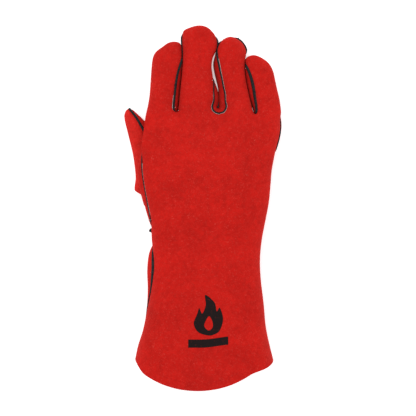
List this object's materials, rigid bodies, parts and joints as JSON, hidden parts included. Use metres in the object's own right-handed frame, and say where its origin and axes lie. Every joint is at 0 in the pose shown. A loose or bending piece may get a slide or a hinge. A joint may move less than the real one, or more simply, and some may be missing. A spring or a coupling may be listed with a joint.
{
  "type": "heat resistant glove",
  "caption": "Right-hand lined leather gauntlet with welted seams and a long cuff, for handling hot grills and cookware; fingers, thumb and wrist bend.",
  "frame": {"origin": "bottom centre of the bounding box, on the surface the palm lies on", "axes": "+Y from hem to fingertips, +Z out of the back of the hand, thumb on the -X side"},
  "size_m": [0.1539, 0.3554, 0.048],
  "materials": {
    "red_suede": "napped split suede",
    "black_welt": "matte welt cord",
    "hand_lining": "brushed fleece",
    "cuff_lining": "woven canvas",
    "thread": "twisted sewing thread"
  },
  "bodies": {
    "hand": {"hand_back": "red_suede", "hand_palm": "red_suede", "crotch_sidewalls": "red_suede", "hand_welts": "black_welt", "hand_lining": "hand_lining"},
    "cuff": {"cuff_back": "red_suede", "cuff_palm": "red_suede", "cuff_welts": "black_welt", "cuff_lining": "cuff_lining", "hem_facing": "red_suede", "hem_stitches": "thread"},
    "index_proximal": {"index_back_proximal": "red_suede", "index_palm_proximal": "red_suede", "index_sidewalls_proximal": "red_suede", "index_welts_proximal": "black_welt", "index_lining_proximal": "hand_lining"},
    "index_distal": {"index_back_distal": "red_suede", "index_palm_distal": "red_suede", "index_sidewalls_distal": "red_suede", "index_welts_distal": "black_welt", "index_lining_distal": "hand_lining"},
    "middle_proximal": {"middle_back_proximal": "red_suede", "middle_palm_proximal": "red_suede", "middle_sidewalls_proximal": "red_suede", "middle_welts_proximal": "black_welt", "middle_lining_proximal": "hand_lining"},
    "middle_distal": {"middle_back_distal": "red_suede", "middle_palm_distal": "red_suede", "middle_sidewalls_distal": "red_suede", "middle_welts_distal": "black_welt", "middle_lining_distal": "hand_lining"},
    "ring_proximal": {"ring_back_proximal": "red_suede", "ring_palm_proximal": "red_suede", "ring_sidewalls_proximal": "red_suede", "ring_welts_proximal": "black_welt", "ring_lining_proximal": "hand_lining"},
    "ring_distal": {"ring_back_distal": "red_suede", "ring_palm_distal": "red_suede", "ring_sidewalls_distal": "red_suede", "ring_welts_distal": "black_welt", "ring_lining_distal": "hand_lining"},
    "little_proximal": {"little_back_proximal": "red_suede", "little_palm_proximal": "red_suede", "little_sidewalls_proximal": "red_suede", "little_welts_proximal": "black_welt", "little_lining_proximal": "hand_lining"},
    "little_distal": {"little_back_distal": "red_suede", "little_palm_distal": "red_suede", "little_sidewalls_distal": "red_suede", "little_welts_distal": "black_welt", "little_lining_distal": "hand_lining"},
    "thumb_base": {"thumb_back_base": "red_suede", "thumb_front_base": "red_suede", "thumb_welt_base": "black_welt", "thumb_lining_base": "hand_lining"},
    "thumb_tip": {"thumb_back_tip": "red_suede", "thumb_front_tip": "red_suede", "thumb_welt_tip": "black_welt", "thumb_lining_tip": "hand_lining"}
  },
  "joints": [
    {"name": "wrist_flex", "type": "hinge", "parent": "hand", "child": "cuff", "pos_m": [0, -0.027, 0.019], "axis": [1, 0, 0], "range_deg": [-25, 25], "stiffness_Nm_per_rad": 0.5},
    {"name": "index_knuckle", "type": "hinge", "parent": "hand", "child": "index_proximal", "pos_m": [-0.0402, 0.103, 0.0125], "axis": [-0.9925, 0.1219, 0], "range_deg": [0, 60], "stiffness_Nm_per_rad": 0.06},
    {"name": "index_middle", "type": "hinge", "parent": "index_proximal", "child": "index_distal", "pos_m": [-0.03581, 0.13873, 0.0125], "axis": [-0.9925, 0.1219, 0], "range_deg": [0, 70], "stiffness_Nm_per_rad": 0.05},
    {"name": "middle_knuckle", "type": "hinge", "parent": "hand", "child": "middle_proximal", "pos_m": [-0.0052, 0.103, 0.0125], "axis": [-0.9997, 0.0262, 0], "range_deg": [0, 60], "stiffness_Nm_per_rad": 0.06},
    {"name": "middle_middle", "type": "hinge", "parent": "middle_proximal", "child": "middle_distal", "pos_m": [-0.00415, 0.14299, 0.0125], "axis": [-0.9997, 0.0262, 0], "range_deg": [0, 70], "stiffness_Nm_per_rad": 0.05},
    {"name": "ring_knuckle", "type": "hinge", "parent": "hand", "child": "ring_proximal", "pos_m": [0.0324, 0.103, 0.0125], "axis": [-0.9945, -0.1045, 0], "range_deg": [0, 60], "stiffness_Nm_per_rad": 0.06},
    {"name": "ring_middle", "type": "hinge", "parent": "ring_proximal", "child": "ring_distal", "pos_m": [0.02864, 0.1388, 0.0125], "axis": [-0.9945, -0.1045, 0], "range_deg": [0, 70], "stiffness_Nm_per_rad": 0.05},
    {"name": "little_knuckle", "type": "hinge", "parent": "hand", "child": "little_proximal", "pos_m": [0.0619, 0.101, 0.0115], "axis": [-0.9848, -0.1736, 0], "range_deg": [0, 60], "stiffness_Nm_per_rad": 0.06},
    {"name": "little_middle", "type": "hinge", "parent": "little_proximal", "child": "little_distal", "pos_m": [0.05721, 0.12759, 0.0115], "axis": [-0.9848, -0.1736, 0], "range_deg": [0, 70], "stiffness_Nm_per_rad": 0.05},
    {"name": "thumb_spread", "type": "hinge", "parent": "hand", "child": "thumb_base", "pos_m": [-0.04026, 0.02159, 0.0093], "axis": [0, 0, 1], "range_deg": [0, 30], "stiffness_Nm_per_rad": 0.06},
    {"name": "thumb_bend", "type": "hinge", "parent": "thumb_base", "child": "thumb_tip", "pos_m": [-0.05687, 0.06312, 0.0093], "axis": [-0.9799, -0.1994, 0], "range_deg": [0, 50], "stiffness_Nm_per_rad": 0.05}
  ]
}
